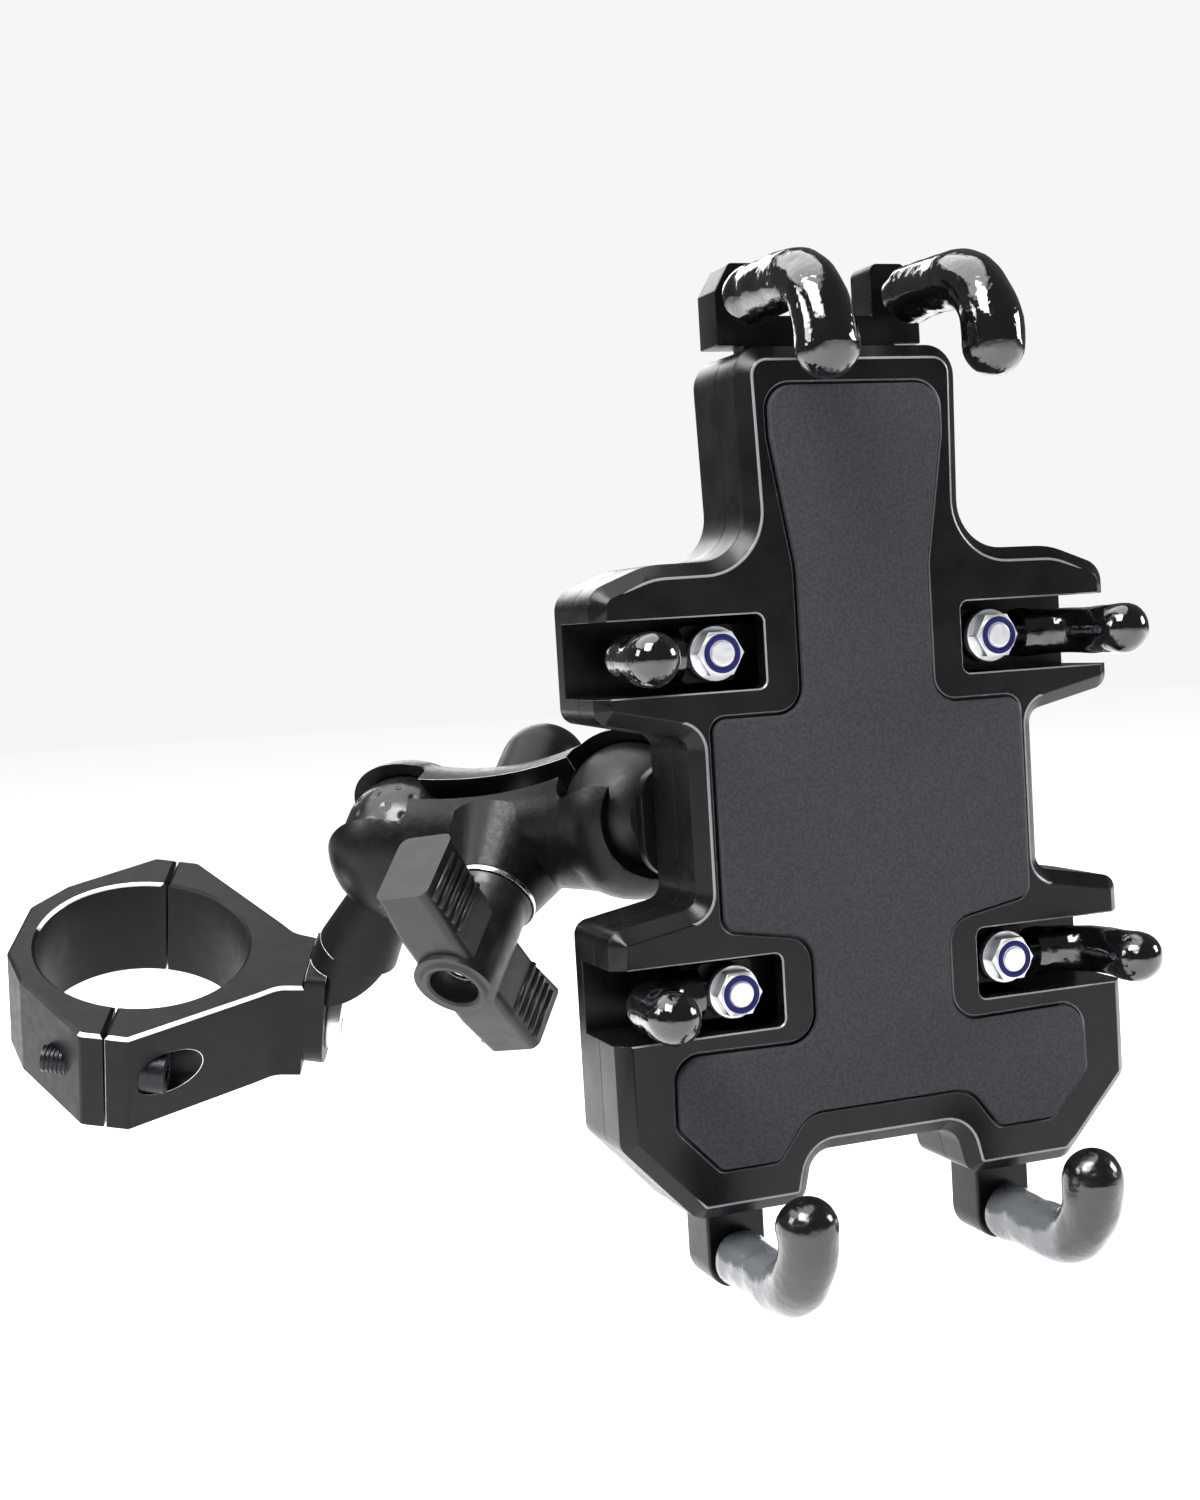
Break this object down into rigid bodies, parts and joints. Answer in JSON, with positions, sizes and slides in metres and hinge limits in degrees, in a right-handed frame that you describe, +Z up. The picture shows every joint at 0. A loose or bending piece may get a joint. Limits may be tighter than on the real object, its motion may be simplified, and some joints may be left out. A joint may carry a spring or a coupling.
{
  "type": "phone handlebar mount",
  "caption": "Phone cradle with spring-fingered side, top and bottom claws on a double ball socket arm and wing knob, held by a two-piece split ring bar clamp.",
  "frame": {"origin": "centre of the split ring's bore", "axes": "+X to the cradle's right as seen from the front, +Z up along the cradle's long side, the phone's screen faces -Y"},
  "size_m": [0.1791, 0.1669, 0.1684],
  "materials": {
    "black_anodised": "black anodised, bright cut edges",
    "black_screw": "black oxide steel",
    "silver_screw": "zinc plated steel",
    "dark_ball": "black anodised",
    "ball_rubber": "glossy moulded rubber",
    "arm_black": "satin fine grain",
    "knob_black": "satin moulded",
    "shell_black": "satin moulded",
    "pad_grey": "fine grained",
    "slider_black": "moulded",
    "claw_steel": "black coated steel",
    "claw_rubber": "glossy dipped"
  },
  "bodies": {
    "clamp": {"clamp_body": "black_anodised", "clamp_cap": "black_anodised", "clamp_screw_near": "black_screw", "clamp_screw_far": "black_screw", "ball_bracket": "black_anodised", "bracket_screw": "silver_screw", "lower_ball": "dark_ball"},
    "lower_cover": {"lower_ball_cover": "ball_rubber"},
    "arm": {"arm_rear_half": "arm_black", "arm_bolt": "black_screw", "arm_spring": "silver_screw"},
    "jaw": {"arm_front_half": "arm_black"},
    "knob": {"knob": "knob_black", "knob_insert": "silver_screw", "knob_washer": "silver_screw"},
    "upper_cover": {"upper_ball_cover": "ball_rubber"},
    "cradle": {"front_shell": "shell_black", "rear_shell": "shell_black", "front_pad": "pad_grey", "base_plate": "shell_black", "upper_ball": "dark_ball", "base_screw_upper": "black_screw", "base_screw_lower": "black_screw", "pinion_pin": "black_screw", "bottom_lug_left": "shell_black", "bottom_lug_right": "shell_black", "bottom_rod_left": "claw_steel", "bottom_rod_right": "claw_steel", "bottom_sleeve_left": "claw_rubber", "bottom_sleeve_right": "claw_rubber"},
    "pinion": {"pinion": "slider_black"},
    "top_slider": {"top_slider": "shell_black", "top_rod_left": "claw_steel", "top_rod_right": "claw_steel", "top_sleeve_left": "claw_rubber", "top_sleeve_right": "claw_rubber"},
    "slider_left": {"side_slider_left": "slider_black", "side_rod_upper_left": "claw_steel", "side_sleeve_upper_left": "claw_rubber", "claw_bolt_upper_left": "silver_screw", "claw_nut_upper_left": "silver_screw", "side_rod_lower_left": "claw_steel", "side_sleeve_lower_left": "claw_rubber", "claw_bolt_lower_left": "silver_screw", "claw_nut_lower_left": "silver_screw"},
    "slider_right": {"side_slider_right": "slider_black", "side_rod_upper_right": "claw_steel", "side_sleeve_upper_right": "claw_rubber", "claw_bolt_upper_right": "silver_screw", "claw_nut_upper_right": "silver_screw", "side_rod_lower_right": "claw_steel", "side_sleeve_lower_right": "claw_rubber", "claw_bolt_lower_right": "silver_screw", "claw_nut_lower_right": "silver_screw"}
  },
  "joints": [
    {"name": "lower_ball_turn", "type": "hinge", "parent": "clamp", "child": "lower_cover", "pos_m": [0.04719, -0.03632, 0.02769], "axis": [0.2904, -0.5494, 0.7834], "range_deg": [-12, 25]},
    {"name": "lower_ball_swing", "type": "hinge", "parent": "lower_cover", "child": "arm", "pos_m": [0.04719, -0.03632, 0.02769], "axis": [-0.5336, -0.5484, -0.6439], "range_deg": [-10, 12]},
    {"name": "jaw_slide", "type": "slide", "parent": "arm", "child": "jaw", "axis": [-0.5336, -0.5484, -0.6439], "range_m": [0, 0.002]},
    {"name": "knob_turn", "type": "hinge", "parent": "jaw", "child": "knob", "pos_m": [0.0631, -0.05491, 0.03035], "axis": [-0.5336, -0.5484, -0.6439], "range_deg": [0, 720]},
    {"name": "upper_ball_tilt", "type": "hinge", "parent": "arm", "child": "upper_cover", "pos_m": [0.079, -0.0735, 0.033], "axis": [1, 0, 0], "range_deg": [-12, 12]},
    {"name": "upper_ball_turn", "type": "hinge", "parent": "upper_cover", "child": "cradle", "pos_m": [0.079, -0.0735, 0.033], "axis": [0, 1, 0], "range_deg": [-90, 90]},
    {"name": "right_claws_slide", "type": "slide", "parent": "cradle", "child": "slider_right", "axis": [1, 0, 0], "range_m": [-0.0023, 0.012]},
    {"name": "left_claws_slide", "type": "slide", "parent": "cradle", "child": "slider_left", "axis": [-1, 0, 0], "range_m": [-0.0023, 0.012]},
    {"name": "pinion_spin", "type": "hinge", "parent": "cradle", "child": "pinion", "pos_m": [0.1065, -0.1025, 0.0335], "axis": [0, 1, 0], "range_deg": [-116, 23]},
    {"name": "top_claws_slide", "type": "slide", "parent": "cradle", "child": "top_slider", "axis": [0, 0, 1], "range_m": [-0.001, 0.014]}
  ],
  "couplings": [
    {"joint": "knob_turn", "follows": "jaw_slide", "rad_per_m": 6283.2},
    {"joint": "left_claws_slide", "follows": "right_claws_slide", "ratio": 1},
    {"joint": "pinion_spin", "follows": "right_claws_slide", "rad_per_m": -166.67}
  ]
}
